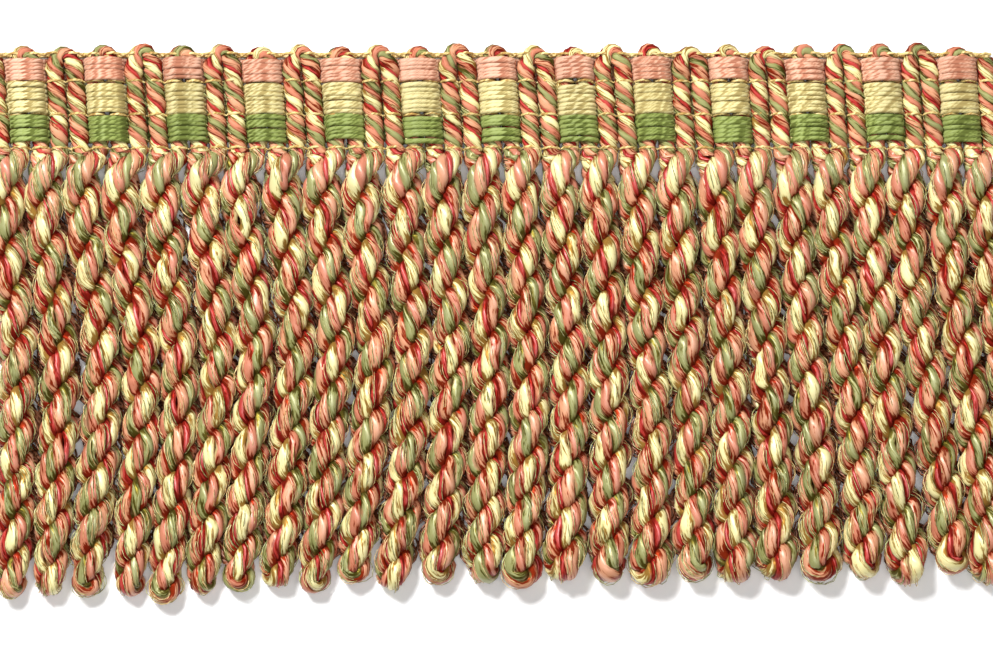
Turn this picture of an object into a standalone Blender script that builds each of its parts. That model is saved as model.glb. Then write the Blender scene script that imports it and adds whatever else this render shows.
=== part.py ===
"""A cut length of bullion fringe, lying face up on a flat surface.

The heading is a woven band. Its weft is one thick yarn that runs up and down across it, so the
band is ribbed, and bands of fine warp float over every second pair of ribs. The skirt hangs from
the heading's lower edge: every two neighbouring legs of the weft are twisted together into one
heavy cord. Metres, +Z up. X runs along the trim, +Y from the cord tips to the heading.
"""

import math

import bmesh
import bpy
from mathutils import Vector

MM = 0.001
MERGE_DISTANCE = 0.001 * MM

# Driving dimensions
CORD_COUNT = 26
CORD_PITCH = 7.16 * MM
# How far the weave is drawn along the trim at its middle, and how much its legs lean
WEAVE_DRIFT = 1.15 * MM
WEAVE_LEAN = 0.074

# One twisted cord: its section is an oblong of two yarns side by side, pressed together
CORD_WIDTH = 5.5 * MM
CORD_THICKNESS = 3.7 * MM
CORD_AXIS_HEIGHT = math.hypot(CORD_WIDTH, CORD_THICKNESS) / 2
# A cord starts inside the strip, lower and thinner, and rises to its full height in one step
ROOT_AXIS_HEIGHT = 2.6 * MM
ROOT_RADIUS = 0.7
ROOT_INSIDE_STRIP = 1.3 * MM
RISE_SHARE = 0.02
# Share by which a turn of the twist is shorter at the tip than at the root
TIGHTENING = 0.19
STEPS_PER_TURN = 8
# The round tip: the cord's thickness as a share of the full one, at shares of its drop
TIP_RADII = (1.0, 0.80, 0.42)
TIP_SHARES = (0.962, 0.989, 1.0)

# Shares of the drop at which the table below gives each cord's sideways offset
OFFSET_SHARES = (0.0, 0.05, 0.22, 0.42, 0.62, 0.81, 1.0)

# Each cord, left to right: its offset from its root at those shares and its drop, in mm, then
# how many turns it is twisted
CORD_COLUMNS = ("shoulder", "upper", "middle", "lower", "near_tip", "tip", "drop", "turns")
OFFSET_COLUMNS = CORD_COLUMNS[:6]
CORDS = (
    (-0.7, -0.6, 1.2, 0.9, 0.8, -0.1, 82.5, 5.01),
    (-1.2, -0.8, 1.4, 1.4, 0.6, -0.4, 82.1, 4.88),
    (-1.7, -0.6, 2.0, 1.9, 0.7, -1.0, 82.2, 5.11),
    (-1.7, -1.0, 1.8, 2.2, 1.1, -0.4, 82.2, 4.97),
    (-1.6, -0.8, 1.6, 1.6, 0.4, -1.1, 83.4, 5.15),
    (-1.6, -0.2, 1.7, 1.3, 0.0, -1.6, 81.9, 4.96),
    (-1.8, -0.6, 1.4, 0.4, -0.6, -2.2, 81.3, 5.10),
    (-1.3, 0.0, 1.7, 0.6, -0.5, -2.3, 80.6, 4.83),
    (-1.0, -0.3, 1.5, 0.2, -0.6, -2.8, 81.5, 5.01),
    (-1.0, -0.5, 1.7, 0.7, -0.8, -2.6, 79.9, 5.15),
    (-0.6, 0.2, 1.4, 0.8, -0.4, -2.8, 81.0, 4.88),
    (-0.5, 0.1, 1.4, 0.8, -0.1, -1.6, 80.0, 5.06),
    (-0.2, 0.0, 1.3, 1.0, 0.3, 0.1, 79.7, 4.97),
    (-0.4, 0.2, 1.1, 1.3, 0.5, -0.4, 80.6, 5.20),
    (-0.5, 0.3, 1.3, 1.7, 1.1, 0.2, 79.5, 4.92),
    (-0.4, 0.4, 1.3, 1.8, 1.9, 1.5, 79.7, 5.06),
    (-0.4, 0.4, 1.5, 2.6, 2.6, 1.9, 80.4, 4.83),
    (-0.3, 0.4, 1.5, 2.7, 3.1, 3.3, 79.3, 5.11),
    (0.1, 0.8, 2.0, 2.9, 3.5, 3.7, 80.0, 4.97),
    (-0.2, 0.7, 2.3, 3.4, 3.9, 4.3, 79.5, 4.88),
    (0.1, 1.0, 2.2, 3.8, 4.8, 5.3, 79.7, 5.19),
    (-0.2, 0.6, 2.5, 4.4, 5.7, 6.4, 79.1, 5.05),
    (-0.5, 0.5, 2.5, 4.1, 6.0, 7.7, 80.2, 4.92),
    (-0.4, 0.4, 2.3, 4.8, 7.0, 8.7, 78.0, 5.11),
    (-0.2, 0.9, 3.0, 5.3, 7.0, 8.7, 79.9, 4.88),
    (-0.3, 0.8, 3.0, 5.3, 7.2, 9.0, 79.9, 5.06),
)

# Across one leg of the weft: where its two shoulders are, as shares of the leg's width
SHOULDER_SHARES = (0.27, 0.73)
LEGS_PER_CORD = 2
LEG_COUNT = CORD_COUNT * LEGS_PER_CORD
# Legs come in fours: the middle two lie under the floats, the outer two are free
REPEAT_LEGS = 4
FLOAT_LEGS = (1, 2)

# Rows of a ribbed band, seam to outer edge. Columns, in mm: distance from the seam, height of the
# free legs, height of the legs under floats, height of the groove inside a pair that has no float.
HEADING_ROWS = (
    ("lower_edge", 0.15, 3.3, 3.3, 2.4),
    ("lower_binding", 0.60, 3.5, 3.4, 2.5),
    ("green_from", 1.75, 4.1, 4.3, 2.7),
    ("green_to", 6.10, 4.1, 4.3, 2.7),
    ("middle_binding", 6.65, 3.7, 4.1, 2.5),
    ("cream_from", 7.20, 4.1, 4.3, 2.7),
    ("cream_to", 11.90, 4.1, 4.3, 2.7),
    ("bare_weft", 12.40, 4.0, 3.7, 2.6),
    ("upper_binding", 12.80, 3.7, 4.0, 2.5),
    ("rose_from", 13.30, 4.1, 4.3, 2.7),
    ("rose_to", 17.00, 3.9, 4.2, 2.7),
    ("top_binding", 17.75, 3.5, 3.5, 2.7),
)
FLOAT_ROWS = (
    "green_from",
    "green_to",
    "middle_binding",
    "cream_from",
    "cream_to",
    "upper_binding",
    "rose_from",
    "rose_to",
)
# Rows of the loops that join one leg to the next above the top binding: how far past that
# binding they reach at a loop's middle, and their height there, in mm
LOOP_ROWS = ((1.2, 3.3), (1.8, 1.9))
LOOP_GROOVE_HEIGHT = 1.8 * MM
# Reach of the top edge between two loops, as a share of a loop's, and how blunt a loop is
LOOP_GROOVE_REACH = 0.3
LOOP_BLUNTNESS = 0.5

# The strip that the cords hang from, in the same columns. It parts from the heading at the seam.
STRIP_ROWS = (
    ("root_edge", -2.20, 3.1, 3.1, 2.2),
    ("seam_edge", -0.15, 3.3, 3.3, 2.4),
)

YARN_COLOUR = (0.50, 0.30, 0.16, 1.0)
HEADING_COLOUR = (0.55, 0.40, 0.20, 1.0)


def clear_scene():
    for thing in list(bpy.data.objects):
        bpy.data.objects.remove(thing, do_unlink=True)


def new_collection(name):
    made = bpy.data.collections.new(name)
    bpy.context.scene.collection.children.link(made)
    return made


def new_material(name, colour):
    """A dull cloth finish in one colour."""
    made = bpy.data.materials.new(name)
    made.use_nodes = True
    shader = made.node_tree.nodes["Principled BSDF"]
    shader.inputs["Base Color"].default_value = colour
    shader.inputs["Roughness"].default_value = 0.75
    shader.inputs["Metallic"].default_value = 0.0
    return made


def seam_x(legs_from_left):
    """Place along the seam of a point so many leg widths from the heading's left end."""
    share = legs_from_left / LEG_COUNT
    length = CORD_COUNT * CORD_PITCH
    return length * (share - 0.5) + WEAVE_DRIFT * math.sin(math.pi * share)


def smooth_between(shares, values, share):
    """A smooth curve through the values, one for each share, that starts out level."""
    last = len(shares) - 2
    i = min(last, max(k for k, at in enumerate(shares) if at <= share or k == 0))
    step = shares[i + 1] - shares[i]

    def slope(k):
        if k == 0:
            return 0.0
        low, high = k - 1, min(k + 1, len(shares) - 1)
        return (values[high] - values[low]) / (shares[high] - shares[low])

    u = (share - shares[i]) / step
    return (
        (2 * u**3 - 3 * u**2 + 1) * values[i]
        + (u**3 - 2 * u**2 + u) * step * slope(i)
        + (3 * u**2 - 2 * u**3) * values[i + 1]
        + (u**3 - u**2) * step * slope(i + 1)
    )


def cord_row(index):
    return dict(zip(CORD_COLUMNS, CORDS[index]))


def cord_centre(index, share):
    """Point on a cord's axis, at a share of its drop."""
    row = cord_row(index)
    offsets = [0.0] + [row[name] for name in OFFSET_COLUMNS]
    x = seam_x(LEGS_PER_CORD * index + 1) + smooth_between(OFFSET_SHARES, offsets, share) * MM
    y = -ROOT_INSIDE_STRIP - share * (row["drop"] * MM - ROOT_INSIDE_STRIP)
    rise = min(1.0, share / RISE_SHARE)
    z = ROOT_AXIS_HEIGHT + rise * (CORD_AXIS_HEIGHT - ROOT_AXIS_HEIGHT)
    return Vector((x, y, z))


def cord_turn(index, share):
    """Angle through which a cord has twisted at a share of its drop."""
    progress = math.log1p(-share * TIGHTENING) / math.log1p(-TIGHTENING)
    return 2 * math.pi * cord_row(index)["turns"] * progress


def oblong_outline():
    """The cord's section, as a closed curve that a cord is swept with."""
    outline = bpy.data.curves.new("cord_section", "CURVE")
    outline.dimensions = "2D"
    outline.fill_mode = "NONE"
    spline = outline.splines.new("POLY")
    spline.points.add(3)
    spline.use_cyclic_u = True
    half_width, half_thickness = CORD_WIDTH / 2, CORD_THICKNESS / 2
    corners = (
        (half_width, half_thickness),
        (-half_width, half_thickness),
        (-half_width, -half_thickness),
        (half_width, -half_thickness),
    )
    for point, (x, y) in zip(spline.points, corners):
        point.co = (x, y, 0.0, 1.0)
    return outline


def cord_shares(index):
    """Shares of the drop where a cord has a section: even steps of twist, then its round tip."""
    count = round(cord_row(index)["turns"] * STEPS_PER_TURN)
    even = [k / count for k in range(count)]
    return [share for share in even if share < TIP_SHARES[0] - 0.3 / count] + list(TIP_SHARES)


def build_cord(index, section, guides):
    """One twisted cord as a closed mesh."""
    path = bpy.data.curves.new(f"cord_path_{index + 1}", "CURVE")
    path.dimensions = "3D"
    path.twist_mode = "Z_UP"
    path.bevel_mode = "OBJECT"
    path.bevel_object = section
    path.use_fill_caps = True
    shares = cord_shares(index)
    radii = dict(zip(TIP_SHARES, TIP_RADII))
    radii[0.0] = ROOT_RADIUS
    spline = path.splines.new("POLY")
    spline.points.add(len(shares) - 1)
    for point, share in zip(spline.points, shares):
        point.co = (*cord_centre(index, share), 1.0)
        point.tilt = cord_turn(index, share)
        point.radius = radii.get(share, 1.0)
    swept = bpy.data.objects.new(f"cord_path_{index + 1}", path)
    guides.objects.link(swept)
    bpy.context.view_layer.update()
    evaluated = swept.evaluated_get(bpy.context.evaluated_depsgraph_get())
    mesh = bpy.data.meshes.new_from_object(evaluated)
    bpy.data.objects.remove(swept)
    shape = bmesh.new()
    shape.from_mesh(mesh)
    bmesh.ops.remove_doubles(shape, verts=shape.verts, dist=MERGE_DISTANCE)
    bmesh.ops.triangulate(shape, faces=shape.faces, quad_method="SHORT_EDGE")
    bmesh.ops.recalc_face_normals(shape, faces=shape.faces)
    shape.to_mesh(mesh)
    shape.free()
    return mesh


def build_cords(guides):
    """All cords as one helper mesh, each a closed body that stands apart from the next."""
    outline = oblong_outline()
    section = bpy.data.objects.new("cord_section", outline)
    guides.objects.link(section)
    shape = bmesh.new()
    for index in range(CORD_COUNT):
        shape.from_mesh(build_cord(index, section, guides))
    mesh = bpy.data.meshes.new("cords")
    shape.to_mesh(mesh)
    shape.free()
    cords = bpy.data.objects.new("cords", mesh)
    guides.objects.link(cords)
    cords.hide_render = True
    cords.display_type = "WIRE"
    section.hide_render = True
    return cords


def leg_columns():
    """Places across the band, in leg widths from its left end: each groove and two shoulders."""
    places = []
    for leg in range(LEG_COUNT):
        places += [float(leg)] + [leg + share for share in SHOULDER_SHARES]
    return places + [float(LEG_COUNT)]


def under_float(leg):
    return leg % REPEAT_LEGS in FLOAT_LEGS


def row_point(row, place):
    """Point of a ribbed band's upper face, in metres, on one row and at one place across it."""
    name, distance, free_height, float_height, groove_height = row
    leg = int(place)
    if place != leg:
        height = float_height if under_float(leg) else free_height
    elif under_float(leg) and under_float(leg - 1) and name in FLOAT_ROWS:
        height = float_height
    else:
        height = groove_height
    y = distance * MM
    return Vector((seam_x(place) - WEAVE_LEAN * y, y, height * MM))


def loop_point(reach, height, place):
    """Point of the loops along the top edge. A loop's middle is on each even groove."""
    top = row_point(HEADING_ROWS[-1], place)
    at_end = place < 1 or place > LEG_COUNT - 1
    swell = 0.0 if at_end else abs(math.cos(math.pi * place / 2)) ** LOOP_BLUNTNESS
    base_reach = LOOP_GROOVE_REACH * reach
    y = top.y + (base_reach + (reach - base_reach) * swell) * MM
    z = LOOP_GROOVE_HEIGHT + (height * MM - LOOP_GROOVE_HEIGHT) * swell
    return Vector((top.x - WEAVE_LEAN * (y - top.y), y, z))


def build_band(name, point_rows, material):
    """A closed band: a grid laid on the given rows of points, with a flat underside at z 0."""
    shape = bmesh.new()
    across, along = len(point_rows[0]), len(point_rows)
    bmesh.ops.create_grid(
        shape, x_segments=across - 1, y_segments=along - 1, size=1.0, calc_uvs=False
    )
    in_order = sorted(shape.verts, key=lambda v: (round(v.co.y, 6), round(v.co.x, 6)))
    for vertex, point in zip(in_order, (p for row in point_rows for p in row)):
        vertex.co = point
    rim = [edge for edge in shape.edges if edge.is_boundary]
    skirt = bmesh.ops.extrude_edge_only(shape, edges=rim)["geom"]
    for vertex in (v for v in skirt if isinstance(v, bmesh.types.BMVert)):
        vertex.co.z = 0.0
    floor_rim = [edge for edge in shape.edges if edge.is_boundary]
    bmesh.ops.contextual_create(shape, geom=floor_rim)
    bmesh.ops.recalc_face_normals(shape, faces=shape.faces)
    mesh = bpy.data.meshes.new(name)
    shape.to_mesh(mesh)
    shape.free()
    mesh.materials.append(material)
    return bpy.data.objects.new(name, mesh)


def build_heading(material):
    """The woven band, with its ribs, its raised floats and the loops along its top edge."""
    places = leg_columns()
    rows = [[row_point(row, place) for place in places] for row in HEADING_ROWS]
    rows += [[loop_point(*loop_row, place) for place in places] for loop_row in LOOP_ROWS]
    return build_band("heading", rows, material)


def build_skirt(material, cords):
    """The cords, fused to a narrow strip of the weft just below the heading."""
    places = leg_columns()
    rows = [[row_point(row, place) for place in places] for row in STRIP_ROWS]
    skirt = build_band("skirt", rows, material)
    fuse = skirt.modifiers.new("fuse_cords", "BOOLEAN")
    fuse.operation = "UNION"
    fuse.solver = "EXACT"
    fuse.object = cords
    return skirt


def shift_to_origin(parts):
    """The move that puts the origin under the middle of the parts' bounding box."""
    bpy.context.view_layer.update()
    graph = bpy.context.evaluated_depsgraph_get()
    corners = [
        part.matrix_world @ vertex.co
        for part in parts
        for vertex in part.evaluated_get(graph).data.vertices
    ]
    middle_x = (min(c.x for c in corners) + max(c.x for c in corners)) / 2
    middle_y = (min(c.y for c in corners) + max(c.y for c in corners)) / 2
    bottom = min(c.z for c in corners)
    return Vector((-middle_x, -middle_y, -bottom))


def main():
    clear_scene()
    fringe = new_collection("bullion_fringe")
    guides = new_collection("guides")
    heading = build_heading(new_material("woven_heading", HEADING_COLOUR))
    fringe.objects.link(heading)
    cords = build_cords(guides)
    skirt = build_skirt(new_material("twisted_yarn", YARN_COLOUR), cords)
    fringe.objects.link(skirt)
    shift = shift_to_origin([heading, skirt])
    for thing in (heading, skirt, cords):
        thing.location = shift


main()
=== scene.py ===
"""Bullion fringe, lying face up on a white floor, seen from straight above.

The weft is one thick yarn of five silky strands. It runs down one leg of the heading, is twisted
on itself into a heavy cord with a looped tip, runs up the next leg, turns over the top edge and
comes down again. Fine warp yarns float over two legs and under the next two, and thin threads
bind every leg. Lengths here are in millimetres, with Y 0 at the seam between heading and skirt.
"""

import math

import bpy
import numpy as np
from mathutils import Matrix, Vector


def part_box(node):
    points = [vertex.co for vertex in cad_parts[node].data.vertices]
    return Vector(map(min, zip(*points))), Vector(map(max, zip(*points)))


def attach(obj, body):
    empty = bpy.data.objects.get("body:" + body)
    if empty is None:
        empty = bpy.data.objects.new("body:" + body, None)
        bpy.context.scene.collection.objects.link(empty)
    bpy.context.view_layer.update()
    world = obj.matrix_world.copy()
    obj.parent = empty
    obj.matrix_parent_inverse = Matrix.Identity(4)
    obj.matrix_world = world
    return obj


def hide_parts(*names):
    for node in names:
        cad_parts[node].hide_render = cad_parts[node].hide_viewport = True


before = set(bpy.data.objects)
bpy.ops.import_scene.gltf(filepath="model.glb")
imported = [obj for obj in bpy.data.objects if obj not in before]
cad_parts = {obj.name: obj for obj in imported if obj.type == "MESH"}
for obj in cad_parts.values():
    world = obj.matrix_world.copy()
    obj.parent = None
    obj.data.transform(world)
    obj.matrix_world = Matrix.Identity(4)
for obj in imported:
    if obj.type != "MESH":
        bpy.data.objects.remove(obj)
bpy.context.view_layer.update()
MM = 0.001

# The weave's layout, as in the solids. Its middle drifts right of an even spacing, each leg leans
# left as it rises, and the heading's solid starts a little above the seam.
CORD_COUNT = 26
CORD_PITCH = 7.16
LEG_COUNT = 52
LEG_HALF_PITCH = CORD_PITCH / 4
WEAVE_DRIFT = 1.15
WEAVE_LEAN = 0.074
FIRST_ROW = 0.15

# Each cord: how far right of its root it lies at each later share of its drop, its drop and turns
OFFSET_SHARES = (0.0, 0.05, 0.22, 0.42, 0.62, 0.81, 1.0)
CORD_COLUMNS = ("shoulder", "upper", "middle", "lower", "near_tip", "tip", "drop", "turns")
CORDS = (
    (-0.7, -0.6, 1.2, 0.9, 0.8, -0.1, 82.5, 5.01),
    (-1.2, -0.8, 1.4, 1.4, 0.6, -0.4, 82.1, 4.88),
    (-1.7, -0.6, 2.0, 1.9, 0.7, -1.0, 82.2, 5.11),
    (-1.7, -1.0, 1.8, 2.2, 1.1, -0.4, 82.2, 4.97),
    (-1.6, -0.8, 1.6, 1.6, 0.4, -1.1, 83.4, 5.15),
    (-1.6, -0.2, 1.7, 1.3, 0.0, -1.6, 81.9, 4.96),
    (-1.8, -0.6, 1.4, 0.4, -0.6, -2.2, 81.3, 5.10),
    (-1.3, 0.0, 1.7, 0.6, -0.5, -2.3, 80.6, 4.83),
    (-1.0, -0.3, 1.5, 0.2, -0.6, -2.8, 81.5, 5.01),
    (-1.0, -0.5, 1.7, 0.7, -0.8, -2.6, 79.9, 5.15),
    (-0.6, 0.2, 1.4, 0.8, -0.4, -2.8, 81.0, 4.88),
    (-0.5, 0.1, 1.4, 0.8, -0.1, -1.6, 80.0, 5.06),
    (-0.2, 0.0, 1.3, 1.0, 0.3, 0.1, 79.7, 4.97),
    (-0.4, 0.2, 1.1, 1.3, 0.5, -0.4, 80.6, 5.20),
    (-0.5, 0.3, 1.3, 1.7, 1.1, 0.2, 79.5, 4.92),
    (-0.4, 0.4, 1.3, 1.8, 1.9, 1.5, 79.7, 5.06),
    (-0.4, 0.4, 1.5, 2.6, 2.6, 1.9, 80.4, 4.83),
    (-0.3, 0.4, 1.5, 2.7, 3.1, 3.3, 79.3, 5.11),
    (0.1, 0.8, 2.0, 2.9, 3.5, 3.7, 80.0, 4.97),
    (-0.2, 0.7, 2.3, 3.4, 3.9, 4.3, 79.5, 4.88),
    (0.1, 1.0, 2.2, 3.8, 4.8, 5.3, 79.7, 5.19),
    (-0.2, 0.6, 2.5, 4.4, 5.7, 6.4, 79.1, 5.05),
    (-0.5, 0.5, 2.5, 4.1, 6.0, 7.7, 80.2, 4.92),
    (-0.4, 0.4, 2.3, 4.8, 7.0, 8.7, 78.0, 5.11),
    (-0.2, 0.9, 3.0, 5.3, 7.0, 8.7, 79.9, 4.88),
    (-0.3, 0.8, 3.0, 5.3, 7.2, 9.0, 79.9, 5.06),
)
# Share by which a turn gets shorter from a cord's root to its tip
TIGHTENING = 0.19

# Height of a leg's middle where the floats lie over it, where they lie under it, and at the seam,
# and how far above the seam the leg has come to its own height
UNDER_FLOAT_HEIGHT = 1.80
OVER_FLOAT_HEIGHT = 2.45
SEAM_HEIGHT = 2.3
LEG_RISE_LENGTH = 2.4
# The loop over the top edge: its centre, how far that varies, its radius, how much higher than a
# half circle it reaches, how far it tilts, and where two legs begin to draw together below it,
# and over what length
LOOP_CENTRE = 16.9
LOOP_LIFT = 0.35
LOOP_RADIUS = 1.05
LOOP_RISE = 0.1
LOOP_TILT = 0.15
PINCH_FROM, PINCH_LENGTH = 15.5, 1.6

# The thick yarn: its radius in a leg and in a loop, how far it runs in one turn of its own twist
# in a leg and in a cord, and the spacing of its rings
LEG_RADIUS = 1.72
LOOP_YARN_RADIUS = 1.42
LEG_TWIST_LENGTH = 7.6
PLY_TWIST_LENGTH = 13.4
RING_STEP = 0.78
# The room that the yarn has where nothing presses on it
FREE_ROOM = 9.0

# The two yarns plied into a cord: their radius, and how far their middles lie from the cord's
PLY_RADIUS = 1.95
PLY_OFFSET = 1.42
# Near its tip a cord is wound tighter, but only in the first cords from the left. From one cord
# on, over the next few, the tips get looser, by this multiple of that tightening.
TIP_RADIUS = 1.62
TIP_OFFSET = 1.10
TIP_LENGTH = 11.0
LOOSER_FROM, LOOSER_OVER, LOOSER_SHARE = 8, 6, 1.6
# About how much longer a plied yarn is than its cord
PLY_STRETCH = 1.19
# How far below the seam the yarn has swollen, its cord has closed up, its plies press each other,
# its twist has changed, and its unevenness has set in
SWELL_LENGTH, CLOSING_LENGTH, PRESS_LENGTH, TWIST_CHANGE_LENGTH, UNEVEN_LENGTH = 1.5, 3.0, 5.0, 6.0, 8.0
# The plies press each other wider across their contact, and flatten from this share of the way
# to it
PLY_SPREAD = 0.13
PRESS_KNEE = 0.72
# A cord is soft and lies wider in its lower part, below this height, and just off the ground
SAG, SAG_HEIGHT = 0.50, 4.5
GROUND_GAP = 0.04

# Unevenness is a sum of waves of about this length, each at a rate between these
WAVE_LENGTH = 11
WAVE_RATES = (0.4, 1.6)
# Unevenness of a leg's place and radius, a cord's turn and offset, and the radius of a ply that
# goes down or comes up, each with its amount and the first of its seeds
LEG_SWAY = (0.10, 100)
LEG_SWELL = (0.03, 300)
TURN_SWAY = (0.16, 500)
OFFSET_SWAY = (0.04, 600)
PLY_SWELL_DOWN = (0.08, 700)
PLY_SWELL_UP = (0.08, 800)
PLY_SWELL_RATE = 1.5
# Unevenness of the thick yarn's twist, of a strand's reach, place, width and surface, and of a
# fine yarn's radius, each with its amount and how quickly it varies along the yarn
TWIST_WAVER = (0.35, 0.5)
STRAND_SWELL = (0.13, 2.3)
STRAND_SWAY = (0.34, 1.7)
STRAND_WIDTH = (0.24, 1.9)
STRAND_SURFACE = (0.055, 2.2)
FINE_SWELL = (0.08, 3)

# The strands of the thick yarn: name, share of the way round that each fills, colour on the crests
# and a darker colour painted in the valleys as shade
STRANDS = (
    ("red", 0.135, (0.37, 0.026, 0.018), (0.12, 0.007, 0.004)),
    ("cream", 0.235, (0.61, 0.54, 0.235), (0.21, 0.110, 0.022)),
    ("rose", 0.205, (0.43, 0.138, 0.070), (0.13, 0.010, 0.003)),
    ("green", 0.195, (0.215, 0.215, 0.070), (0.040, 0.032, 0.005)),
    ("peach", 0.23, (0.51, 0.220, 0.110), (0.15, 0.015, 0.004)),
)
# A strand that fills less than this has a plainer section and no strays of other colours
THIN_SHARE = 0.15
# How much wider a strand is than its share, so that strands sink into each other
STRAND_OVERLAP = 1.24
# A strand's section, as reaches from the yarn's middle: at the edges and crest of a thin one, at
# the edges of another and its rise from there to the crest, and at its inner point
THIN_EDGE, THIN_CREST = 0.76, 0.96
EDGE_REACH, CREST_RISE = 0.68, 0.37
INNER_REACH = 0.25
# Half the width that the silk's pattern has round the whole thick yarn
YARN_HALF_ROUND = 5.5
# Roughness and strength of shine of the strands in each part
STRAND_FINISH = {"skirt": (0.40, 1.0), "heading": (0.52, 0.22)}
# How open a leg's side is to the light, and how much more its crest is. The colour is painted
# darker as shade on the lower sides and lighter on the crest.
LEG_OPENNESS, LEG_CREST_OPENNESS = 0.76, 0.25
# Painted light: the yarn is painted paler just below the seam: how much, where, and over what length
PAINTED_ROOT_LIGHT, PAINTED_ROOT_LIGHT_Y, PAINTED_ROOT_LIGHT_LENGTH = 0.14, -4.0, 5.0

# Loose filaments: name, how many, radius, least and most bow off the yarn as shares of its
# radius, greatest height, the places above the seam that they keep between, the colour on their
# crests and the painted shade in their valleys. How many there are is also the seed. The dark
# ones low down near the floor are loose filaments painted dark as the shade between the cords.
FILAMENTS = (
    (
        "pale_filaments", 3000, 0.075, (0.05, 0.32), 9.0, (-90, 15),
        (0.70, 0.56, 0.24), (0.50, 0.26, 0.10),
    ),
    (
        "green_filaments", 2600, 0.085, (0.06, 0.36), 9.0, (-90, 15),
        (0.42, 0.44, 0.19), (0.16, 0.15, 0.04),
    ),
    # Loose filaments low between the cords, painted dark as the shade there
    (
        "gap_shade_filaments", 6700, 0.23, (0.04, 0.50), 3.0, (-76, -6),
        (0.17, 0.065, 0.030), (0.06, 0.016, 0.006),
    ),
)
# Rings of the yarn at its start and its end where no filament starts, the rings that one spans,
# up to but not with the last number, and the fewest that it may be left with, less one
FILAMENT_MARGINS = (10, 20)
FILAMENT_RINGS = (5, 9)
FEWEST_RINGS = 3
# How far one leans and turns round the yarn, in radians, its least height, and its reach in the
# yarn's radii. Its points beyond this share of the way to the other ply are left out.
FILAMENT_LEAN, FILAMENT_TURN = 0.3, 1.2
FILAMENT_LOWEST = 0.2
FILAMENT_REACH = 0.98
FILAMENT_ROOM = 0.85

# Bands of warp: name, first and last yarn's place above the seam, yarn count, the colour on the
# crests and the painted shade in the valleys
WARP_BANDS = (
    ("green", 2.1, 6.05, 6, (0.212, 0.258, 0.066), (0.095, 0.115, 0.026)),
    ("cream", 7.2, 11.8, 7, (0.535, 0.460, 0.205), (0.33, 0.255, 0.095)),
    ("rose", 13.3, 16.7, 6, (0.57, 0.305, 0.200), (0.39, 0.155, 0.092)),
)
WARP_RADIUS = 0.55
# A float over two legs and behind two: place in legs, share of the way to the front, and bow
FLOAT_PROFILE = (
    (1.06, 0.36, -0.30),
    (1.20, 0.86, -0.08),
    (1.50, 1.0, 0.06),
    (2.0, 0.98, 0.12),
    (2.50, 1.0, 0.06),
    (2.80, 0.86, -0.08),
    (2.94, 0.36, -0.30),
    (3.15, 0.06, -0.2),
    (4.0, 0.0, 0.0),
    (4.85, 0.06, -0.2),
)
FLOAT_FRONT, FLOAT_BACK = 4.0, 0.48
# How much a float's height and place vary, a band's whole group of floats over a pair of legs,
# and a warp yarn's place
FLOAT_SPREAD, GROUP_SPREAD, WARP_SPREAD = 0.10, 0.22, 0.09

# Binding threads: their places above the seam, and how much and how far they pinch each leg
BINDINGS = (0.45, 6.62, 12.75, 17.75)
BINDING_RADIUS = 0.26
LEG_PINCH, LEG_PINCH_REACH = 0.13, 0.7
# A binding thread over one leg: place across the leg, share of its rise, and bow
BINDING_PROFILE = ((0.0, 0.0, -0.26), (0.20, 0.78, 0.0), (0.5, 1.0, 0.16), (0.80, 0.78, 0.0))
BINDING_LOW = 1.3
BINDING_SPREAD = 0.06
# How high it lies on the yarn, in its own radii: at the seam, on a leg and near the loops
SEAM_SEAT, LEG_SEAT, LOOP_SEAT = 0.35, 0.45, 0.5
# Up to what place a binding is at the seam, and between what places it also passes over floats,
# and by how much it rises for them
NEAR_SEAM = 2
FLOATS_FROM, FLOATS_TO, FLOATS_RISE = 6, 16, 0.6
# The binding threads' colour on their crests, and the painted shade in their valleys
BINDING_COLOUR, BINDING_VALLEY_SHADE = (0.60, 0.46, 0.17), (0.34, 0.20, 0.06)
TOP_CORD_HEIGHT = 17.5
TOP_CORD_RADIUS = 0.50
TOP_CORD_GAP, TOP_CORD_WAVE = 0.05, 0.12

# Silk: its patterns' steps for each millimetre across and along, and how strongly each shows
STREAKS_ACROSS, STREAKS_ALONG, STREAK_CONTRAST = 2.5, 0.45, 1.9
LOCKS_ACROSS, LOCKS_ALONG, LOCK_CONTRAST = 1.1, 0.13, 0.8
PATCHES_ACROSS, PATCHES_ALONG, PATCH_CONTRAST = 0.2, 0.12, 0.7
NOISE_MIDDLE = 0.5
TONE_CONTRAST, TONE_MIDDLE = 3.4, 0.48
# The openness that leaves a strand's tone as it is, and how quickly its tone changes from there.
# Less open places are painted darker, as shade.
FULL_OPENNESS, OPENNESS_CONTRAST = 0.92, 4.4
# The tone up to which the valleys' painted shade colour is seen, and the tone that has the crest's
VALLEY_TONE, CREST_TONE = 0.02, 0.50
# Painted highlight: how much brighter the highest tone is than the crest's, and how much white it
# gains, as a share of the colour's own lightness
PEAK_LIGHT, CREST_GLEAM = 1.1, 0.14
# How far the sheen takes on a crest's colour, and how bright it is in the valleys, where it is
# dimmed along with the painted shade
SHEEN_COLOUR, VALLEY_SHADE_SHEEN = 0.4, 0.6
# Strays of a neighbour's colour: how bright, from what share of the way to the edge, how ragged,
# how quickly they take over, and how far at most
STRAY_LIGHT, STRAY_FROM, STRAY_FRAY, STRAY_RISE, STRAY_MOST = 0.7, 0.72, 1.3, 2.6, 0.8
# How much the roughness varies with the streaks
ROUGHNESS_SPREAD = 0.3
SILK_IOR, SILK_ANISOTROPY = 1.60, 0.9
# A Mix node's colour sockets, by number, because its other sockets bear the same names
MIX_FIRST, MIX_SECOND, MIX_RESULT = 6, 7, 2

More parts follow.
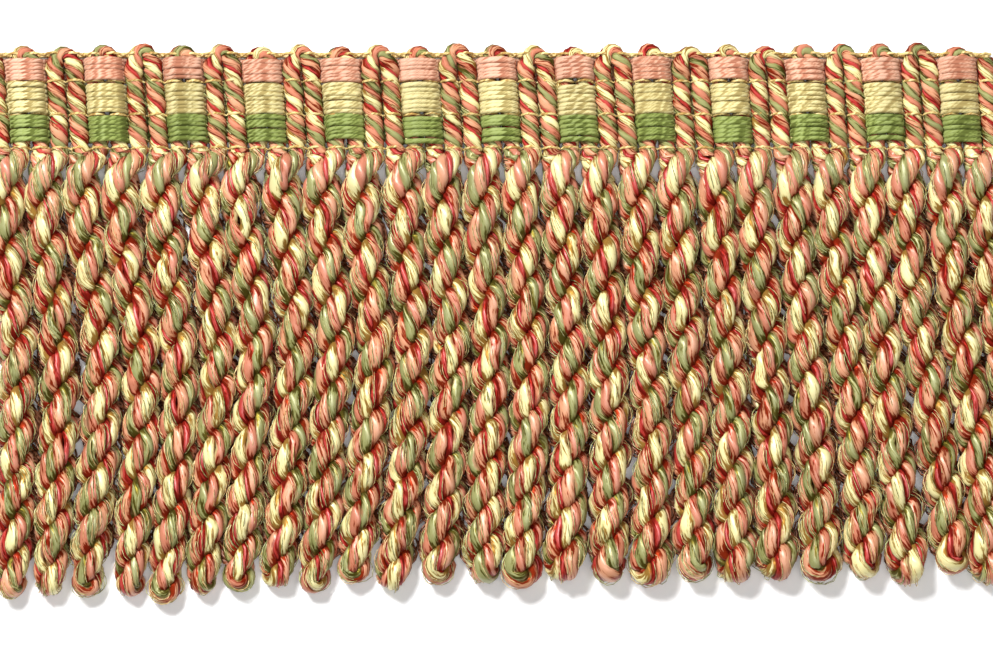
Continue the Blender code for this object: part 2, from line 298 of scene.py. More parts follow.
# The camera, from the photograph's size in pixels and its scale in millimetres a pixel. Its height
# is in metres, above the middle of the fringe's thickness.
PHOTO_WIDTH, PHOTO_SCALE = 993, 0.184
MIDDLE_ROW, SEAM_ROW = 330.0, 150.0
CAMERA_HEIGHT = 1.2
FRINGE_MIDDLE = 4.5
SENSOR = 36.0
# The floor, in metres
FLOOR_HALF, FLOOR_HEIGHT = 2.0, -0.0002
WHITE_FLOOR, WHITE_LIGHT = (0.92, 0.92, 0.92, 1), (1, 1, 1, 1)
WARM_WORLD, WORLD_STRENGTH = (1.0, 0.98, 0.95, 1), 0.14

rng = np.random.default_rng(26)
LOOP_LIFTS = rng.uniform(-LOOP_LIFT, LOOP_LIFT, LEG_COUNT // 2 + 1)


# Curves and unevenness


def smooth(t):
    """From 0 to 1 as t does, starting and ending level."""
    t = np.clip(t, 0.0, 1.0)
    return t * t * (3 - 2 * t)


def curve_through(shares, values, at):
    """A smooth curve through the values that starts out level, read at many shares."""
    shares, values = np.array(shares), np.array(values)
    slopes = np.zeros(len(values))
    slopes[1:-1] = (values[2:] - values[:-2]) / (shares[2:] - shares[:-2])
    slopes[-1] = (values[-1] - values[-2]) / (shares[-1] - shares[-2])
    i = np.clip(np.searchsorted(shares, at, side="right") - 1, 0, len(shares) - 2)
    step = shares[i + 1] - shares[i]
    u = (at - shares[i]) / step
    return (
        (2 * u**3 - 3 * u**2 + 1) * values[i]
        + (u**3 - 2 * u**2 + u) * step * slopes[i]
        + (3 * u**2 - 2 * u**3) * values[i + 1]
        + (u**3 - u**2) * step * slopes[i + 1]
    )


def wander(at, waves, seed):
    """A gentle unevenness along a length, between about -1 and 1."""
    source = np.random.default_rng(seed)
    total = np.zeros_like(at)
    for _ in range(waves):
        wave = at * source.uniform(*WAVE_RATES) / WAVE_LENGTH
        total += np.sin(2 * np.pi * (wave + source.uniform()))
    return total / waves


def uneven(kind, length, waves, seed):
    """Unevenness of one kind along a yarn. kind is its amount and how quickly it varies."""
    amount, rate = kind
    return amount * wander(length * rate, waves, seed)


def step_lengths(points):
    return np.linalg.norm(np.diff(points, axis=0), axis=1)


def running_total(values):
    """The sum so far, starting from 0."""
    return np.concatenate([[0], np.cumsum(values)])


def unit(vectors):
    return vectors / np.linalg.norm(vectors, axis=1)[:, None]


def carried_frames(points):
    """Two directions across a yarn at each point, carried along it without turning."""
    along = unit(np.gradient(points, axis=0))
    first = np.zeros_like(points)
    start = np.array([1.0, 0.0, 0.0])
    start -= along[0] * start.dot(along[0])
    first[0] = start / np.linalg.norm(start)
    for i in range(len(points) - 1):
        # Mirrored across the step, and then so that the direction along fits the next point's
        v1 = points[i + 1] - points[i]
        c1 = v1.dot(v1)
        carried = first[i] - (2 / c1) * v1.dot(first[i]) * v1
        v2 = along[i + 1] - (along[i] - (2 / c1) * v1.dot(along[i]) * v1)
        c2 = v2.dot(v2)
        first[i + 1] = carried - (2 / c2) * v2.dot(carried) * v2 if c2 > 1e-12 else carried
    return first, np.cross(along, first)


# The thick yarn's course


def seam_x(legs_from_left):
    """Where a place along the weave, counted in legs, lies at the seam."""
    share = legs_from_left / LEG_COUNT
    length = CORD_COUNT * CORD_PITCH
    return length * (share - 0.5) + WEAVE_DRIFT * np.sin(np.pi * share)


def place_in_frame():
    """How far this script's zero lies from the frame's, so that the weave lies on its solid."""
    lowest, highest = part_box("heading")
    x = highest.x / MM - (seam_x(LEG_COUNT) - WEAVE_LEAN * FIRST_ROW)
    return np.array([x, lowest.y / MM - FIRST_ROW, 0.0])


SHIFT = place_in_frame()


class Path:
    """The thick yarn's centre line, with what each point of it needs to know.

    toward is the direction of whatever presses on the yarn, and room is how far off that is.
    """

    def __init__(self):
        self.points, self.toward, self.room = [], [], []
        self.radius, self.twist, self.in_skirt, self.spread = [], [], [], []

    def add(self, points, toward, room, radius, twist_length, in_skirt, spread=0.0):
        n = len(points)
        self.points.append(np.asarray(points))
        self.toward.append(np.broadcast_to(toward, (n, 3)))
        self.room.append(np.broadcast_to(room, n))
        self.radius.append(np.broadcast_to(radius, n))
        self.twist.append(np.broadcast_to(twist_length, n))
        self.in_skirt.append(np.full(n, in_skirt))
        self.spread.append(np.broadcast_to(spread, n))

    def joined(self):
        return {name: np.concatenate(value) for name, value in vars(self).items()}


def under_floats(leg):
    """Whether the warp floats over this leg, as it does over every second pair."""
    return leg % 4 in (1, 2)


def leg_height(leg):
    return UNDER_FLOAT_HEIGHT if under_floats(leg) else OVER_FLOAT_HEIGHT


def near_loop(y):
    """0 along most of a leg, and 1 where it meets the loop over the top edge."""
    return smooth((y - PINCH_FROM) / PINCH_LENGTH)


def leg_points(leg, pinch_to):
    """A leg's centre line, from the seam up to where the loop begins."""
    top = LOOP_CENTRE + LOOP_LIFTS[(leg + 1) // 2]
    y = np.linspace(0.0, top, round(top / RING_STEP) + 1)
    pinch = near_loop(y) * (LEG_HALF_PITCH - LOOP_RADIUS) * pinch_to
    amount, seed = LEG_SWAY
    sway = amount * wander(y + 40 * leg, 3, seed + leg)
    x = seam_x(leg + 0.5) - WEAVE_LEAN * y + pinch + sway
    z = SEAM_HEIGHT + (leg_height(leg) - SEAM_HEIGHT) * smooth(y / LEG_RISE_LENGTH)
    return np.stack([x, y, z], 1)


def add_leg(path, leg, going_up):
    """One rib of the heading, pinched a little by each binding thread."""
    # The loop over the top joins an odd leg to the even leg on its right
    pinch_to = 1.0 if leg % 2 == 1 else -1.0
    if leg in (0, LEG_COUNT - 1):
        pinch_to = 0.0
    points = leg_points(leg, pinch_to)
    y = points[:, 1]
    radius = LEG_RADIUS + (LOOP_YARN_RADIUS - LEG_RADIUS) * near_loop(y)
    amount, seed = LEG_SWELL
    radius = radius * (1 + amount * wander(y + 30 * leg, 3, seed + leg))
    for place in BINDINGS:
        radius = radius * (1 - LEG_PINCH * np.exp(-(((y - place) / LEG_PINCH_REACH) ** 2)))
    if not going_up:
        points, radius = points[::-1], radius[::-1]
    path.add(points, (0, 0, 1), FREE_ROOM, radius, LEG_TWIST_LENGTH, False)


def add_top_loop(path, leg):
    """The turn over the top edge from one leg to the next on its right."""
    turn = np.linspace(0, np.pi, 8)[1:-1]
    left, right = leg_points(leg, 1.0)[-1], leg_points(leg + 1, -1.0)[-1]
    centre, out = (left + right) / 2, (left - right) / 2
    tilt = LOOP_TILT * rng.uniform(-1, 1)
    lift = np.array([-WEAVE_LEAN, 1.0, tilt]) * (LOOP_RADIUS + LOOP_RISE)
    points = centre + np.outer(np.cos(turn), out) + np.outer(np.sin(turn), lift)
    path.add(points, unit(centre - points), LOOP_RADIUS, LOOP_YARN_RADIUS, LEG_TWIST_LENGTH, False)


def cord_sections(index, drop):
    """From a cord's root to its fold: share of its drop, and its plies' radius and offset."""
    tightness = 1 - LOOSER_SHARE * smooth((index - LOOSER_FROM) / LOOSER_OVER)
    tip_half = PLY_RADIUS + PLY_OFFSET
    tip_half += (TIP_RADIUS + TIP_OFFSET - tip_half) * tightness
    last = 1 - tip_half / drop
    share = np.linspace(0.0, last, round(drop * PLY_STRETCH / RING_STEP))[1:]
    tip = smooth((share * drop - drop * last + TIP_LENGTH) / TIP_LENGTH) * tightness
    thickness = PLY_RADIUS + (TIP_RADIUS - PLY_RADIUS) * tip
    offset = PLY_OFFSET + (TIP_OFFSET - PLY_OFFSET) * tip
    return share, thickness, offset


def cord_centre(index, row, share, half_height):
    """A cord's centre line, which comes from the seam's height to lie on the ground."""
    offsets = [0.0] + [row[name] for name in CORD_COLUMNS[:6]]
    x = seam_x(2 * index + 1) + curve_through(OFFSET_SHARES, offsets, share)
    depth = share * row["drop"]
    rise = half_height + GROUND_GAP - SEAM_HEIGHT
    height = SEAM_HEIGHT + rise * smooth(depth / CLOSING_LENGTH)
    return np.stack([x, -depth, height], 1)


def cord_outward(index, turns, share, depth, along):
    """The direction from a cord's middle to the ply that comes up, which winds round it."""
    aside = np.stack([-along[:, 1], along[:, 0], np.zeros(len(along))], 1)
    turned = np.log1p(-share * TIGHTENING) / math.log1p(-TIGHTENING)
    amount, seed = TURN_SWAY
    turn = 2 * np.pi * turns * turned
    turn += amount * wander(depth, 3, seed + index) * smooth(depth / UNEVEN_LENGTH)
    return aside * np.cos(turn)[:, None] + np.array([0, 0, 1]) * np.sin(turn)[:, None]


def ply_radius(thickness, depth, index, swell):
    """A ply's uneven radius. swell is how much that varies, and the first of its seeds."""
    amount, seed = swell
    return thickness * (1 + amount * wander(depth * PLY_SWELL_RATE, 3, seed + index))


def add_bullion(path, index):
    """One heavy cord: down as one ply, round the loop at its tip, and up as the other."""
    row = dict(zip(CORD_COLUMNS, CORDS[index]))
    share, thickness, offset = cord_sections(index, row["drop"])
    centre = cord_centre(index, row, share, thickness + offset)
    depth = share * row["drop"]
    along = np.gradient(centre, axis=0)
    along[:, 2] = 0
    along = unit(along)
    outward = cord_outward(index, row["turns"], share, depth, along)
    amount, seed = OFFSET_SWAY
    offset = LEG_HALF_PITCH + (offset - LEG_HALF_PITCH) * smooth(depth / CLOSING_LENGTH)
    offset *= 1 + amount * wander(depth, 3, seed + index) * smooth(depth / UNEVEN_LENGTH)
    thickness = LEG_RADIUS + (thickness - LEG_RADIUS) * smooth(depth / SWELL_LENGTH)
    twist_change = PLY_TWIST_LENGTH - LEG_TWIST_LENGTH
    twist = LEG_TWIST_LENGTH + twist_change * smooth(depth / TWIST_CHANGE_LENGTH)
    spread = PLY_SPREAD * smooth(depth / PRESS_LENGTH)
    down_radius = ply_radius(thickness, depth, index, PLY_SWELL_DOWN)
    up_radius = ply_radius(thickness, depth, index, PLY_SWELL_UP)
    down = centre - outward * offset[:, None]
    up = centre + outward * offset[:, None]
    path.add(down, outward, offset, down_radius, twist, True, spread)
    bend = np.linspace(0, np.pi, 10)[1:-1]
    spoke = -np.outer(np.cos(bend), outward[-1]) + np.outer(np.sin(bend), along[-1])
    fold = centre[-1] + spoke * offset[-1]
    path.add(fold, -spoke, offset[-1], down_radius[-1], PLY_TWIST_LENGTH, True, spread[-1])
    path.add(
        up[::-1], -outward[::-1], offset[::-1], up_radius[::-1], twist[::-1], True, spread[::-1]
    )


def thick_yarn():
    """The whole weft, from the first leg's top to the last's."""
    path = Path()
    for index in range(CORD_COUNT):
        add_leg(path, 2 * index, going_up=False)
        add_bullion(path, index)
        add_leg(path, 2 * index + 1, going_up=True)
        if index < CORD_COUNT - 1:
            add_top_loop(path, 2 * index + 1)
    return path.joined()


# Meshes


def new_mesh(part, name, points, faces, coordinates, material):
    """A piece in the frame's metres, with its across and along coordinates as a UV map."""
    mesh = bpy.data.meshes.new(name)
    verts = (points + SHIFT) * MM
    mesh.vertices.add(len(verts))
    mesh.vertices.foreach_set("co", verts.astype(np.float32).ravel())
    loops = faces.ravel().astype(np.int32)
    mesh.loops.add(len(loops))
    mesh.loops.foreach_set("vertex_index", loops)
    mesh.polygons.add(len(faces))
    mesh.polygons.foreach_set("loop_start", np.arange(0, len(loops), 4, dtype=np.int32))
    mesh.update(calc_edges=True)
    mesh.validate()
    layer = mesh.uv_layers.new(name="Yarn")
    layer.data.foreach_set("uv", coordinates[loops].astype(np.float32).ravel())
    mesh.polygons.foreach_set("use_smooth", np.ones(len(faces), bool))
    mesh.materials.append(material)
    piece = bpy.data.objects.new(name, mesh)
    bpy.context.scene.collection.objects.link(piece)
    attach(piece, "root")
    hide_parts(part)
    return piece


def ring_quads(rings, sides):
    """Quads that join each of these rings of points to the next."""
    side = np.arange(sides)
    a = (rings[:, None] * sides + side).ravel()
    b = (rings[:, None] * sides + (side + 1) % sides).ravel()
    return np.stack([a, b, b + sides, a + sides], 1)


def with_along(around, length):
    """A UV coordinate for each point of each ring: its place in the ring, and along the yarn."""
    return np.stack(np.broadcast_arrays(around[None, :], length[:, None]), 2).reshape(-1, 2)


def fine_tube(part, name, lines, radius, material, sides=6):
    """One piece made of many fine yarns, each an array of points."""
    at = np.arange(sides) * 2 * np.pi / sides
    around = np.arange(sides) / sides * 2
    all_points, all_faces, all_coordinates, base = [], [], [], 0
    for number, line in enumerate(lines):
        length = running_total(step_lengths(line))
        first, second = carried_frames(line)
        r = radius * (1 + uneven(FINE_SWELL, length, 3, number + 50))[:, None, None]
        ring = line[:, None, :] + r * (
            first[:, None, :] * np.cos(at)[None, :, None]
            + second[:, None, :] * np.sin(at)[None, :, None]
        )
        all_points.append(ring.reshape(-1, 3))
        # The first corner settles how a quad splits into triangles
        quads = np.roll(ring_quads(np.arange(len(line) - 1), sides), -1, axis=1)
        all_faces.append(quads + base)
        all_coordinates.append(with_along(around, length))
        base += len(line) * sides
    joined = [np.concatenate(rows) for rows in (all_points, all_faces, all_coordinates)]
    new_mesh(part, name, *joined, material)


# Silk


def scaled(colour, factor):
    """A colour made brighter or darker, for a socket that also takes its opacity."""
    return (*[factor * c for c in colour], 1)


def sheen_tint(colour):
    """Silk reflects light partly in its own colour."""
    return (*[1 - SHEEN_COLOUR * (1 - c / max(colour)) for c in colour], 1)


class Silk:
    """A material's nodes, with short ways to add the few kinds that silk needs."""

    def __init__(self, name):
        self.material = bpy.data.materials.new(name)
        self.material.use_nodes = True
        self.tree = self.material.node_tree
        self.shader = self.tree.nodes["Principled BSDF"]

    def node(self, kind, **settings):
        made = self.tree.nodes.new(kind)
        for key, value in settings.items():
            setattr(made, key, value)
        return made

    def feed(self, socket, value):
        """Gives a socket a plain value, or links another node's output to it."""
        if isinstance(value, bpy.types.NodeSocket):
            self.tree.links.new(value, socket)
        else:
            socket.default_value = value

    def maths(self, operation, *values):
        made = self.node("ShaderNodeMath", operation=operation)
        for socket, value in zip(made.inputs, values):
            self.feed(socket, value)
        return made.outputs[0]

    def times(self, a, b):
        return self.maths("MULTIPLY", a, b)

    def plus(self, a, b):
        return self.maths("ADD", a, b)

    def minus(self, a, b):
        return self.maths("SUBTRACT", a, b)

    def noise(self, x, y, detail):
        joined = self.node("ShaderNodeCombineXYZ")
        self.feed(joined.inputs[0], x)
        self.feed(joined.inputs[1], y)
        made = self.node("ShaderNodeTexNoise")
        made.inputs["Scale"].default_value = 1.0
        made.inputs["Detail"].default_value = detail
        made.inputs["Roughness"].default_value = 0.6
        self.feed(made.inputs["Vector"], joined.outputs[0])
        return made.outputs["Fac"]

    def mix(self, factor, first, second):
        made = self.node("ShaderNodeMix", data_type="RGBA")
        self.feed(made.inputs["Factor"], factor)
        self.feed(made.inputs[MIX_FIRST], first)
        self.feed(made.inputs[MIX_SECOND], second)
        return made.outputs[MIX_RESULT]

    def coordinates(self, half_width, slant):
        """Place across the yarn from -1 to 1, the slanting place of its filaments, and along."""
        uv = self.node("ShaderNodeUVMap", uv_map="Yarn")
        split = self.node("ShaderNodeSeparateXYZ")
        self.feed(split.inputs[0], uv.outputs[0])
        across, along = split.outputs[0], split.outputs[1]
        return across, self.plus(self.times(across, half_width), self.times(along, slant)), along

    def ramp(self, tone, colour, valley_shade):
        """The yarn's colour at each tone: painted shade in its valleys, its own colour on its crests,
        and a painted highlight above them.
        """
        made = self.node("ShaderNodeValToRGB")
        low, high = made.color_ramp.elements
        low.position, low.color = VALLEY_TONE, (*valley_shade, 1)
        high.position, high.color = CREST_TONE, (*colour, 1)
        # The highest tones get a painted highlight
        top = made.color_ramp.elements.new(1.0)
        gleam = CREST_GLEAM * sum(colour) / 3
        top.color = (*[min(1.0, c * PEAK_LIGHT + gleam) for c in colour], 1)
        self.feed(made.inputs["Fac"], tone)
        return made.outputs["Color"]

    def with_strays(self, shown, across, fine, beside):
        """The colours of the strands on either side, in some filaments near each edge."""
        left, right = [scaled(tint, STRAY_LIGHT) for tint in beside]
        other = self.mix(self.maths("GREATER_THAN", across, 0.0), left, right)
        ragged = self.plus(self.maths("ABSOLUTE", across), self.times(fine, STRAY_FRAY))
        clamped = self.node("ShaderNodeClamp")
        clamped.inputs["Max"].default_value = STRAY_MOST
        self.feed(clamped.inputs["Value"], self.times(self.minus(ragged, STRAY_FROM), STRAY_RISE))
        return self.mix(clamped.outputs[0], shown, other)

    def add_colour(self, shown, patches):
        """The colour, a little lighter and darker in broad patches."""
        patchy = self.node("ShaderNodeHueSaturation")
        self.feed(patchy.inputs["Color"], shown)
        value = self.plus(self.times(patches, PATCH_CONTRAST), 1 - PATCH_CONTRAST / 2)
        self.feed(patchy.inputs["Value"], value)
        self.feed(self.shader.inputs["Base Color"], patchy.outputs["Color"])

    def add_sheen(self, tone, streaks, colour, valley_shade, roughness, shine):
        """A sheen in the yarn's own hue, drawn out across its filaments."""
        uneven = self.plus(self.times(streaks, ROUGHNESS_SPREAD), roughness - ROUGHNESS_SPREAD / 2)
        self.feed(self.shader.inputs["Roughness"], uneven)
        self.shader.inputs["IOR"].default_value = SILK_IOR
        self.shader.inputs["Specular IOR Level"].default_value = shine
        # The sheen is dimmed in the valleys along with the painted shade
        sheen_in_shade = scaled([c / max(valley_shade) for c in valley_shade], VALLEY_SHADE_SHEEN)
        tint = self.mix(tone, sheen_in_shade, sheen_tint(colour))
        self.feed(self.shader.inputs["Specular Tint"], tint)
        self.shader.inputs["Anisotropic"].default_value = SILK_ANISOTROPY
        tangent = self.node("ShaderNodeTangent", direction_type="UV_MAP", uv_map="Yarn")
        self.feed(self.shader.inputs["Tangent"], tangent.outputs[0])

    def add_bump(self, height, depth):
        """Relief, as deep as this many millimetres."""
        bump = self.node("ShaderNodeBump")
        bump.inputs["Strength"].default_value = 1.0
        bump.inputs["Distance"].default_value = depth * MM
        self.feed(bump.inputs["Height"], height)
        self.feed(self.shader.inputs["Normal"], bump.outputs["Normal"])


def yarn_material(
    name, colour, valley_shade, half_width, slant, depth, roughness, beside=None, shine=1.0
):
    """Silky yarn: uneven filaments along it, with a painted highlight on their crests and painted
    shade between them.

    A strand of the thick yarn is painted darker as shade where it faces its neighbours, and paler
    as painted light just below the seam. Where it meets the strands beside it, some of its
    filaments have their colours.
    """
    silk = Silk(name)
    across, x, along = silk.coordinates(half_width, slant)
    streaks = silk.noise(
        silk.times(x, STREAKS_ACROSS), silk.times(along, STREAKS_ALONG), detail=3.0
    )
    locks = silk.noise(silk.times(x, LOCKS_ACROSS), silk.times(along, LOCKS_ALONG), detail=1.0)
    patches = silk.noise(
        silk.times(along, PATCHES_ALONG), silk.times(x, PATCHES_ACROSS), detail=1.0
    )
    fine = silk.times(silk.minus(streaks, NOISE_MIDDLE), STREAK_CONTRAST)
    lines = silk.plus(fine, silk.times(silk.minus(locks, NOISE_MIDDLE), LOCK_CONTRAST))

    tone = silk.plus(silk.times(lines, TONE_CONTRAST), TONE_MIDDLE)
    if beside:
        # Painted shade and light: the tone goes down where the strand is less open to the light
        openness = silk.node("ShaderNodeAttribute", attribute_name="Openness").outputs["Fac"]
        closed = silk.times(silk.minus(openness, FULL_OPENNESS), OPENNESS_CONTRAST)
        tone = silk.plus(tone, closed)
    shown = silk.ramp(tone, colour, valley_shade)
    if beside:
        shown = silk.with_strays(shown, across, fine, beside)
    silk.add_colour(shown, patches)
    silk.add_sheen(tone, streaks, colour, valley_shade, roughness, shine)
    silk.add_bump(lines, depth)
    return silk.material


# The weft's strands


def strand_outline(share):
    """One strand's section as angles and reaches from the yarn's middle; reach 1 is the yarn's."""
    half = np.pi * share * STRAND_OVERLAP
    if share < THIN_SHARE:
        across = np.array([-1.0, 0.0, 1.0])
        reaches = np.array([THIN_EDGE, THIN_CREST, THIN_EDGE])
    else:
        across = np.array([-1.0, -0.8, -0.42, 0.0, 0.42, 0.8, 1.0])
        reaches = EDGE_REACH + CREST_RISE * np.sqrt(np.clip(1 - across**2, 0, 1))
    angles = np.append(across * half, 0.0)
    return angles, np.append(reaches, INNER_REACH), np.append(across, 0.0)


def strand_offsets(angles, reaches, middle, seed, yarn, across_dirs, length, turned):
    """A strand's section round each point of the yarn, before anything presses on it."""
    swell = 1 + uneven(STRAND_SWELL, length, 4, seed)
    sway = uneven(STRAND_SWAY, length, 4, seed + 1)
    width = 1 + uneven(STRAND_WIDTH, length, 4, seed + 2)
    at = turned[:, None] + middle + sway[:, None] + angles[None, :] * width[:, None]
    reach = (yarn["radius"] * swell)[:, None] * reaches[None, :]
    for k in range(len(reaches) - 1):
        reach[:, k] *= 1 + uneven(STRAND_SURFACE, length, 3, seed + 20 + k)
    first, second = across_dirs
    return (
        first[:, None, :] * (np.cos(at) * reach)[..., None]
        + second[:, None, :] * (np.sin(at) * reach)[..., None]
    )


def sag(height, plied):
    """How much wider a cord lies at a height, as a factor on its half width."""
    return 1 + SAG * plied * smooth((SAG_HEIGHT - height) / SAG_HEIGHT)


def press(d, yarn, plied):
    """Flattens the section where the other ply is, and widens it aside and near the ground."""
    toward, room = yarn["toward"], yarn["room"][:, None]
    aside = np.cross(unit(np.gradient(yarn["points"], axis=0)), toward)
    wider = np.einsum("nsk,nk->ns", d, aside) * yarn["spread"][:, None]
    d += wider[..., None] * aside[:, None, :]
    inward = np.einsum("nsk,nk->ns", d, toward)
    beyond = (inward / room - PRESS_KNEE) / (1 - PRESS_KNEE)
    flattened = room * (PRESS_KNEE + (1 - PRESS_KNEE) * np.tanh(beyond))
    moved = np.where(inward > PRESS_KNEE * room, flattened - inward, 0.0)
    d += moved[..., None] * toward[:, None, :]
    d[..., 0] *= sag(yarn["points"][:, None, 2] + d[..., 2], plied)


def openness_at(d, yarn, plied):
    """How open to the light each point of a section is: less near the other ply, or low down, and
    more just below the seam. It sets how much painted shade and painted light the strand gets.
    """
    room, radius = yarn["room"][:, None], yarn["radius"][:, None]
    in_cord = np.linalg.norm(d - yarn["toward"][:, None, :] * room[:, :, None], axis=2)
    in_cord = in_cord / (room + radius)
    in_leg = LEG_OPENNESS + LEG_CREST_OPENNESS * d[..., 2] / radius
    # Painted light just below the seam
    below_seam = (yarn["points"][:, 1] - PAINTED_ROOT_LIGHT_Y) / PAINTED_ROOT_LIGHT_LENGTH
    return in_leg + (in_cord - in_leg) * plied + PAINTED_ROOT_LIGHT * np.exp(-(below_seam**2))[:, None]


def add_strand_piece(part, name, points, openness, coordinates, yarn, material):
    """The rings of a strand that lie in one part of the trim, as one piece."""
    in_skirt = yarn["in_skirt"]
    rings = np.flatnonzero((in_skirt[:-1] | in_skirt[1:]) == (part == "skirt"))
    faces = ring_quads(rings, points.shape[1])
    used, where = np.unique(faces, return_inverse=True)
    flat = points.reshape(-1, 3)[used]
    faces = where.reshape(faces.shape)
    piece = new_mesh(part, f"{part}_{name}_strand", flat, faces, coordinates[used], material)
    # Each point's openness to the light, from which its painted shade and light are drawn
    openings = piece.data.attributes.new("Openness", "FLOAT", "POINT")
    openings.data.foreach_set("value", openness.ravel()[used].astype(np.float32))


def build_strand(number, start, yarn, across_dirs, length, turned):
    """One strand of the thick yarn over its whole length, as a skirt piece and a heading piece."""
    name, share, colour, valley_shade = STRANDS[number]
    angles, reaches, across = strand_outline(share)
    middle = 2 * np.pi * (start + share / 2)
    seed = round(start * 1000) + 11
    plied = yarn["spread"][:, None] / PLY_SPREAD
    d = strand_offsets(angles, reaches, middle, seed, yarn, across_dirs, length, turned)
    press(d, yarn, plied)
    points = yarn["points"][:, None, :] + d
    openness = openness_at(d, yarn, plied)
    coordinates = with_along(across, length)
    beside = STRANDS[number - 1][2], STRANDS[(number + 1) % len(STRANDS)][2]
    if share < THIN_SHARE:
        beside = colour, colour
    for part, (roughness, shine) in STRAND_FINISH.items():
        material = yarn_material(
            f"{part}_{name}_strand", colour, valley_shade, half_width=YARN_HALF_ROUND * share,
            slant=0.05, depth=0.022, roughness=roughness, beside=beside, shine=shine,
        )
        add_strand_piece(part, name, points, openness, coordinates, yarn, material)


# Loose filaments


def loose_filaments(yarn, across_dirs, turned, count, bows, highest, span):
    """Short filaments that have come loose and bow a little off the thick yarn."""
    source = np.random.default_rng(count)
    points, toward = yarn["points"], yarn["toward"]
    first, second = across_dirs
    inner = np.arctan2(
        np.einsum("nk,nk->n", second, toward), np.einsum("nk,nk->n", first, toward)
    )
    at_start, at_end = FILAMENT_MARGINS
    lines = []
    while len(lines) < count:
        i = int(source.uniform(at_start, len(points) - at_end))
        steps = int(source.uniform(*FILAMENT_RINGS))
        part = slice(i, i + steps)
        if points[part, 1].min() < span[0] or points[part, 1].max() > span[1]:
            continue
        # It follows the twist on the yarn's outer side, and bows out between its ends
        t = np.linspace(0, 1, steps)
        lean = source.uniform(-FILAMENT_LEAN, FILAMENT_LEAN)
        angle = turned[part] - turned[i + steps // 2] + lean * t
        turn = source.uniform(-FILAMENT_TURN, FILAMENT_TURN)
        angle = angle + inner[i + steps // 2] + np.pi + turn
        bow = source.uniform(*bows) * np.sin(np.pi * t)
        reach = yarn["radius"][part] * (FILAMENT_REACH + bow)
        d = first[part] * (np.cos(angle) * reach)[:, None]
        d = d + second[part] * (np.sin(angle) * reach)[:, None]
        d[:, 0] *= sag(points[part, 2] + d[:, 2], yarn["spread"][part] / PLY_SPREAD)
        inward = np.einsum("nk,nk->n", d, toward[part])
        line = (points[part] + d)[inward < FILAMENT_ROOM * yarn["room"][part]]
        if len(line) <= FEWEST_RINGS:
            continue
        if line[:, 2].min() > FILAMENT_LOWEST and line[:, 2].max() < highest:
            lines.append(line)
    return lines


def build_filaments(yarn, across_dirs, turned):
    for name, count, radius, bows, highest, span, colour, valley_shade in FILAMENTS:
        material = yarn_material(
            name, colour, valley_shade, half_width=0.3, slant=0.5, depth=0.02, roughness=0.5
        )
        lines = loose_filaments(yarn, across_dirs, turned, count, bows, highest, span)
        fine_tube("skirt", f"skirt_{name}", lines, radius, material, sides=3)


def build_weft():
    """The thick yarn's strands, each starting where the last ends, and its loose filaments."""
    yarn = thick_yarn()
    steps = step_lengths(yarn["points"])
    length = running_total(steps)
    turned = 2 * np.pi * running_total(steps / yarn["twist"][1:])
    turned = -(turned + uneven(TWIST_WAVER, length, 4, 9))
    across_dirs = carried_frames(yarn["points"])
    start = 0.0
    for number in range(len(STRANDS)):
        build_strand(number, start, yarn, across_dirs, length, turned)
        start += STRANDS[number][1]
    build_filaments(yarn, across_dirs, turned)


# Warp and bindings


def float_line(y, shifts, seed):
    """A warp yarn that lies over each pair of legs under floats and behind each free pair."""
    source = np.random.default_rng(seed)
    line = [(seam_x(0) - WEAVE_LEAN * y, y, FLOAT_BACK)]
    for repeat in range(LEG_COUNT // 4):
        lift = source.normal(0, FLOAT_SPREAD)
        shift = shifts[repeat] + FLOAT_SPREAD * source.normal()
        for place, share, bow in FLOAT_PROFILE:
            at = 4 * repeat + place
            if at > LEG_COUNT:
                continue
            up = y + bow + shift * share
            z = FLOAT_BACK + (FLOAT_FRONT - FLOAT_BACK + lift) * share
            line.append((seam_x(at) - WEAVE_LEAN * up, up, z))
    return np.array(line)


def binding_top(leg, y):
    """The height at which a binding thread's middle passes over a leg."""
    if y < NEAR_SEAM:
        return SEAM_HEIGHT + LEG_RADIUS * (1 - LEG_PINCH) + SEAM_SEAT * BINDING_RADIUS
    if y > FLOATS_TO:
        return leg_height(leg) + LOOP_YARN_RADIUS * (1 - LEG_PINCH) + LOOP_SEAT * BINDING_RADIUS
    top = leg_height(leg) + LEG_RADIUS * (1 - LEG_PINCH) + LEG_SEAT * BINDING_RADIUS
    if under_floats(leg) and y > FLOATS_FROM:
        top += FLOATS_RISE
    return top


def binding_line(y, seed):
    """A thin thread that arches over every leg and dips between them."""
    source = np.random.default_rng(seed)
    line = []
    for leg in range(LEG_COUNT):
        top = binding_top(leg, y)
        jog = source.normal(0, BINDING_SPREAD)
        for place, share, bow in BINDING_PROFILE:
            up = y + bow + jog
            z = BINDING_LOW + (top - BINDING_LOW) * share
            line.append((seam_x(leg + place) - WEAVE_LEAN * up, up, z))
    return np.array(line)


def top_cord_line():
    """The yarn that closes the top edge behind the legs."""
    place = np.arange(0.02, LEG_COUNT, 0.25)
    y = TOP_CORD_HEIGHT + TOP_CORD_WAVE * np.cos(2 * np.pi * place)
    z = np.full_like(y, TOP_CORD_RADIUS + TOP_CORD_GAP)
    return np.stack([seam_x(place) - WEAVE_LEAN * y, y, z], 1)


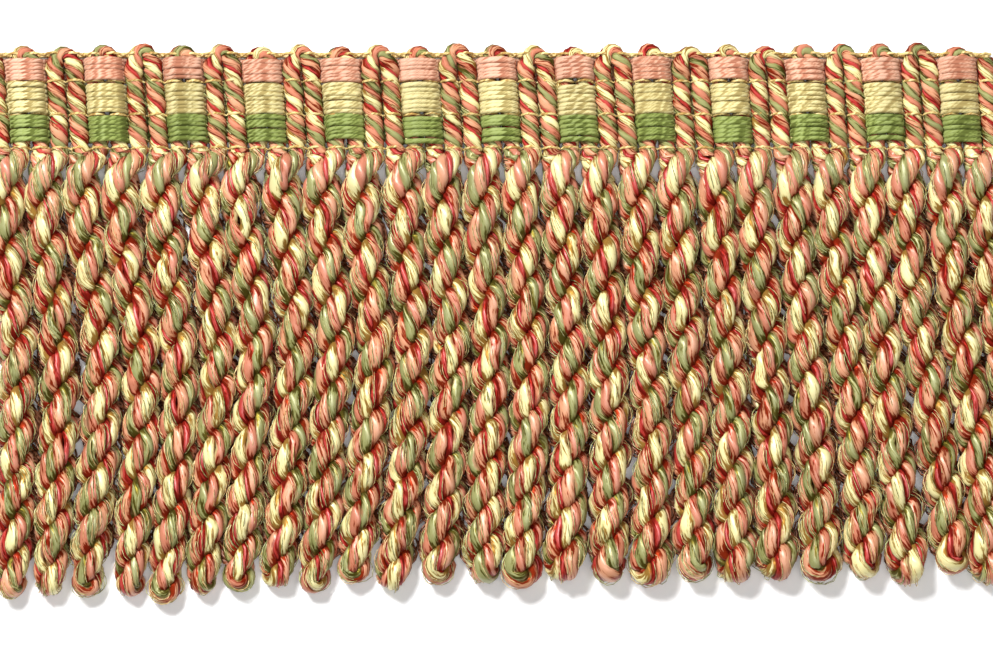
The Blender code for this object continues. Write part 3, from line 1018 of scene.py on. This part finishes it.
def build_warp():
    for number, (name, low, high, count, colour, valley_shade) in enumerate(WARP_BANDS):
        material = yarn_material(
            f"{name}_warp", colour, valley_shade, half_width=0.9, slant=0.35, depth=0.07,
            roughness=0.52, shine=0.18,
        )
        source = np.random.default_rng(70 + number)
        shifts = GROUP_SPREAD * source.normal(size=LEG_COUNT // 4)
        lines = []
        for k, y in enumerate(np.linspace(low, high, count)):
            y += WARP_SPREAD * source.normal()
            lines.append(float_line(y, shifts, 1000 + 50 * number + k))
        fine_tube("heading", f"heading_{name}_warp", lines, WARP_RADIUS, material)


def build_bindings():
    """The binding threads, and the cord behind the top loops in the same yarn."""
    material = yarn_material(
        "binding_thread", BINDING_COLOUR, BINDING_VALLEY_SHADE, half_width=0.5, slant=0.5, depth=0.06,
        roughness=0.5,
    )
    lines = [binding_line(y, 2000 + k) for k, y in enumerate(BINDINGS)]
    fine_tube("heading", "heading_binding_threads", lines, BINDING_RADIUS, material)
    fine_tube("heading", "heading_top_cord", [top_cord_line()], TOP_CORD_RADIUS, material)


# Floor, light and camera


def build_stage():
    mesh = bpy.data.meshes.new("floor")
    sides = ((-1, -1), (1, -1), (1, 1), (-1, 1))
    corners = [(x * FLOOR_HALF, y * FLOOR_HALF, 0) for x, y in sides]
    mesh.from_pydata(corners, [], [(0, 1, 2, 3)])
    floor = bpy.data.objects.new("floor", mesh)
    floor.location.z = FLOOR_HEIGHT
    bpy.context.scene.collection.objects.link(floor)
    material = bpy.data.materials.new("white_floor")
    material.use_nodes = True
    shader = material.node_tree.nodes["Principled BSDF"]
    shader.inputs["Base Color"].default_value = WHITE_FLOOR
    shader.inputs["Roughness"].default_value = 0.9
    shader.inputs["Emission Color"].default_value = WHITE_LIGHT
    shader.inputs["Emission Strength"].default_value = 0.07
    mesh.materials.append(material)


def area_light(name, place, size, power):
    """A square light that faces the middle of the floor. place and size are in metres."""
    data = bpy.data.lights.new(name, "AREA")
    data.shape = "SQUARE"
    data.size = size
    data.energy = power
    lamp = bpy.data.objects.new(name, data)
    lamp.location = place
    lamp.rotation_euler = (-Vector(place)).to_track_quat("-Z", "Y").to_euler()
    bpy.context.scene.collection.objects.link(lamp)


def build_light():
    world = bpy.data.worlds.new("studio")
    bpy.context.scene.world = world
    world.use_nodes = True
    background = world.node_tree.nodes["Background"]
    background.inputs["Color"].default_value = WARM_WORLD
    background.inputs["Strength"].default_value = WORLD_STRENGTH
    area_light("key", place=(-0.40, 0.60, 0.96), size=0.26, power=22.5)
    area_light("overhead", place=(0.10, -0.15, 1.25), size=0.8, power=7.0)
    view = bpy.context.scene.view_settings
    view.view_transform = "Standard"
    view.look = "None"


def build_camera():
    """Straight above, so that the seam and the scale fall where the photograph has them."""
    data = bpy.data.cameras.new("camera")
    data.sensor_width = SENSOR
    data.lens = SENSOR * CAMERA_HEIGHT / (PHOTO_WIDTH * PHOTO_SCALE * MM)
    data.clip_end = 10.0
    camera = bpy.data.objects.new("camera", data)
    x = SHIFT[0] * MM
    y = (SHIFT[1] + (SEAM_ROW - MIDDLE_ROW) * PHOTO_SCALE) * MM
    camera.location = (x, y, CAMERA_HEIGHT + FRINGE_MIDDLE * MM)
    bpy.context.scene.collection.objects.link(camera)
    bpy.context.scene.camera = camera


build_camera()
build_stage()
build_light()
build_weft()
build_warp()
build_bindings()
